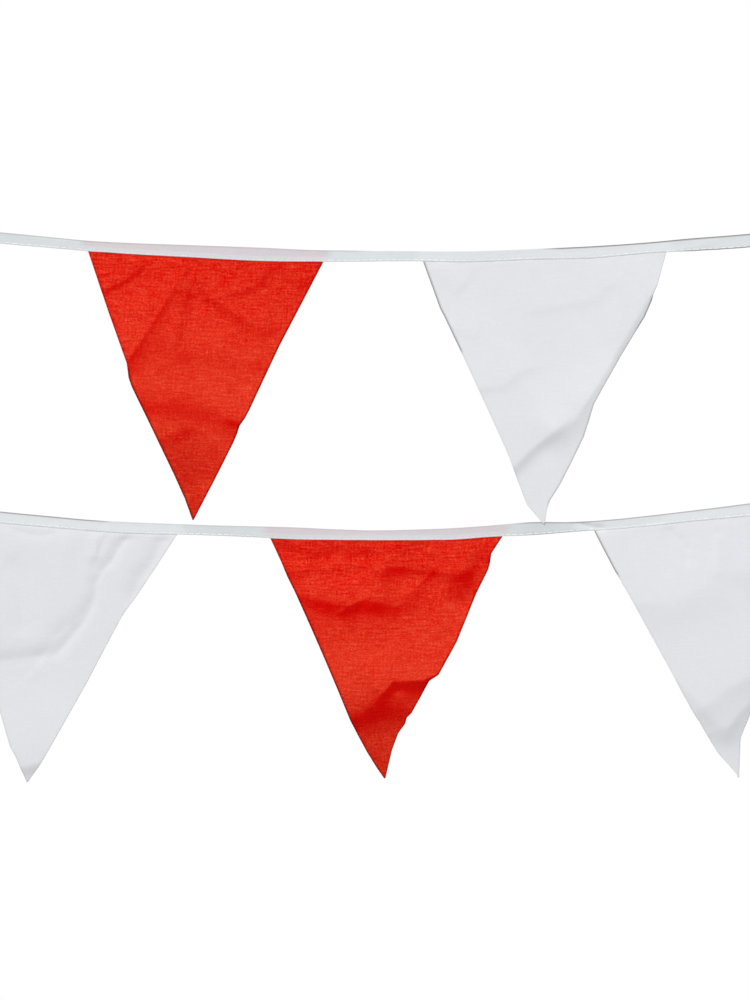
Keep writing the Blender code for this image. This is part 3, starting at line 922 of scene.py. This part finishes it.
# The lower left pennant: two creases fall from the seam near its right corner, and the longer one, puckered, turns
# down and across to the left edge.
lower_left = hang_pennant(
    "cloth_lower_left_white",
    row="lower",
    seam_from=17,
    seam_to=252.2,
    left=[(84.3, -516), (89.9, -526)],
    right=[
        (232.6, -333.5), (211.1, -365.5), (199.3, -381.5), (194.5, -389.5), (177.4, -421.5), (160.6, -453.5),
        (142.6, -485.5), (124.4, -517.5), (115, -533.5), (109.1, -541.5),
    ],
    tip=(101, -552),
    tip_out=-11.0,
    at_seam=0.22,
    painted_tip_shade=(0.0, 0.0),
    crumple=0.1,
    seed=3.0,
    darkened_edges=[("left", -284, -552, 0.1), ("right", -304, -552, 0.05)],
    folds=[
        Fold([(226, -268), (212, -290), (203, -305), (194, -317), (187, -330), (177, -340), (171, -353),
              (168, -374), (158, -391), (143, -410), (132, -423), (102, -434)], -1.0, 5, 6.5, 0.3),
        Fold([(252, -226), (204, -303), (194, -317), (187, -330), (177, -340), (171, -353), (168, -374),
              (158, -391), (143, -410), (132, -422), (117, -426), (0, -440)], -1.7, 90, 9.5, 0.2),
        Fold([(146, -386), (131, -406), (119, -420), (106, -432)], -0.6, 12, 7, 0.2),
        Fold([(136, -419), (112, -426), (98, -429), (20, -436)], -0.5, 50, 7, 0.2),
        Fold([(248, -292), (236, -312), (227, -332), (214, -347), (203, -380)], -2.1, 13, 9, 0.3),
        Fold([(174, -290), (171, -312), (172, -332)], 0.8, 3, 8, 0.4),
        Fold([(184, -296), (178, -312), (170, -330), (166, -344)], -0.6, 5, 3, 0.3),
        Fold([(186, -330), (173, -350), (160, -372)], 0.35, 5, 10, 0.1),
        Fold([(170, -362), (156, -382), (136, -400), (118, -410)], -0.45, 4, 10, 0.1),
        Fold([(84, -297), (104, -303), (118, -304), (134, -300)], -0.6, 4, 6, 0.3),
        Fold([(84, -320), (96, -353), (98, -372), (98, -410)], -0.9, 12, 10, 0.2),
        Fold([(130, -416), (112, -438), (98, -454)], 0.4, 8, 3.5, 0.2),
        Fold([(60, -312), (88, -306), (120, -308), (160, -318)], 1.0, 20, 24, 0.2),
        Fold([(20, -548), (93, -536), (114, -531), (190, -514)], 4.6, 60, 11, 0.1),
    ],
)
lower_left.data.materials.append(white_cotton)


# The lower red pennant: crumpled creases lie across its upper half, and a deep fold below its middle stands
# forward and shades the cloth under it, which hangs back to the tip.
lower_red = hang_pennant(
    "cloth_lower_red",
    row="lower",
    seam_from=345.2,
    seam_to=577.6,
    left=[
        (356, -330.5), (362.8, -346.5), (370.8, -362.5), (385, -394.5), (398.9, -426.5), (412.5, -458.5),
        (425.6, -490.5), (433.7, -506.5), (442.3, -522.5), (452.2, -538.5),
    ],
    right=[
        (566.2, -322.5), (565.1, -331), (563.2, -338.5), (551.3, -362.5), (538.1, -394.5), (531.5, -410.5),
        (513.4, -443.4), (504.2, -449.4), (495.3, -466.5), (486.5, -482.5), (481.8, -487), (480.3, -493),
        (473.2, -503), (467, -520),
    ],
    tip=(459.8, -548.5),
    tip_out=-11.0,
    at_seam=-0.2,
    # The tip is painted grey as shade where it hangs back from the light.
    painted_tip_shade=(0.16, 0.14),
    crumple=0.2,
    seed=4.0,
    darkened_edges=[("left", -305, -340, 0.4), ("left", -340, -548, 0.9), ("right", -305, -548, 0.6)],
    folds=[
        Fold([(620, -396), (517, -440), (498, -448), (482, -449), (468, -449), (459, -459), (451, -467),
              (430, -478)], 6.2, 7.5, 45, 0.2),
        Fold([(660, -400), (560, -430), (500, -449), (452, -473), (400, -491), (330, -512)],
             3.6, 15, 120, 0.2),
        Fold([(600, -462), (490, -475), (461, -474), (438, -477), (392, -486)], 2.8, 16, 60, 0.2),
        Fold([(320, -300), (357, -318), (373, -325), (386, -331), (400, -327), (414, -324), (430, -328),
              (446, -326), (464, -312)], -3.6, 8.5, 18, 0.3),
        Fold([(340, -342), (372, -338), (398, -335), (438, -334), (459, -335), (482, -336), (503, -338),
              (556, -348)], 2.6, 18, 6.5, 0.4),
        Fold([(496, -320), (521, -324), (531, -330), (539, -350)], 1.1, 14, 3.5, 0.4),
        Fold([(508, -350), (538, -340), (556, -332), (600, -306)], 3.6, 15, 20, 0.4),
        Fold([(300, -314), (372, -334), (400, -350), (480, -374)], 7.0, 90, 30, 0.2),
        Fold([(352, -356), (376, -363), (402, -370), (422, -373), (440, -369), (456, -371), (469, -375),
              (482, -370), (502, -346)], 3.2, 20, 10, 0.3),
        Fold([(408, -386), (428, -373), (452, -360)], 0.9, 7, 4, 0.6),
        Fold([(474, -372), (493, -354), (514, -334)], 1.2, 7, 4, 0.6),
        Fold([(414, -358), (440, -347), (470, -340)], 1.3, 10, 5, 0.4),
        Fold([(524, -342), (521, -372), (518, -412)], 1.2, 3.5, 12, 0.5),
        Fold([(560, -318), (548, -350), (536, -384)], -3.2, 22, 10, 0.2),
    ],
)
lower_red.data.materials.append(red_cotton)


# The lower right pennant: almost flat above, and its narrow end falls back in two folds that shade the tip.
lower_right = hang_pennant(
    "cloth_lower_right_white",
    row="lower",
    seam_from=669,
    seam_to=904,
    left=[
        (676, -313.5), (688.4, -337.5), (702.3, -361.5), (720, -393.5), (746.4, -441.5), (754.7, -457.5),
        (768, -481.5), (773.4, -489.5), (783, -505.5), (792.9, -521.5), (799.9, -529.5), (812.3, -543.5),
    ],
    right=[(862, -391), (825, -484), (816, -507)],
    tip=(814.3, -547),
    tip_out=-6.0,
    at_seam=0.22,
    painted_tip_shade=(0.0, 0.0),
    crumple=0.08,
    seed=5.0,
    darkened_edges=[("left", -300, -342, 1.0), ("left", -342, -547, 0.05), ("right", -300, -547, 0.1)],
    folds=[
        Fold([(700, -518), (768, -481), (790, -466), (801, -456), (821, -445), (900, -404)],
             3.6, 120, 18, 0.5),
        Fold([(740, -524), (786, -501), (804, -492), (812, -480), (824, -469), (880, -430)], 0.7, 80, 5, 0.2),
        Fold([(780, -512), (802, -496), (812, -484), (824, -471), (880, -427)], 5.2, 80, 14, 0.2),
        Fold([(640, -372), (712, -370), (745, -371), (764, -362), (782, -354), (787, -343), (900, -330)],
             3.2, 80, 28, 0.5),
        Fold([(742, -290), (749, -303), (756, -309), (761, -318), (764, -338)], -0.7, 3.2, 7, 0.3),
        Fold([(793, -300), (793, -348)], 0.6, 8, 5, 0.4),
    ],
)
lower_right.data.materials.append(white_cotton)
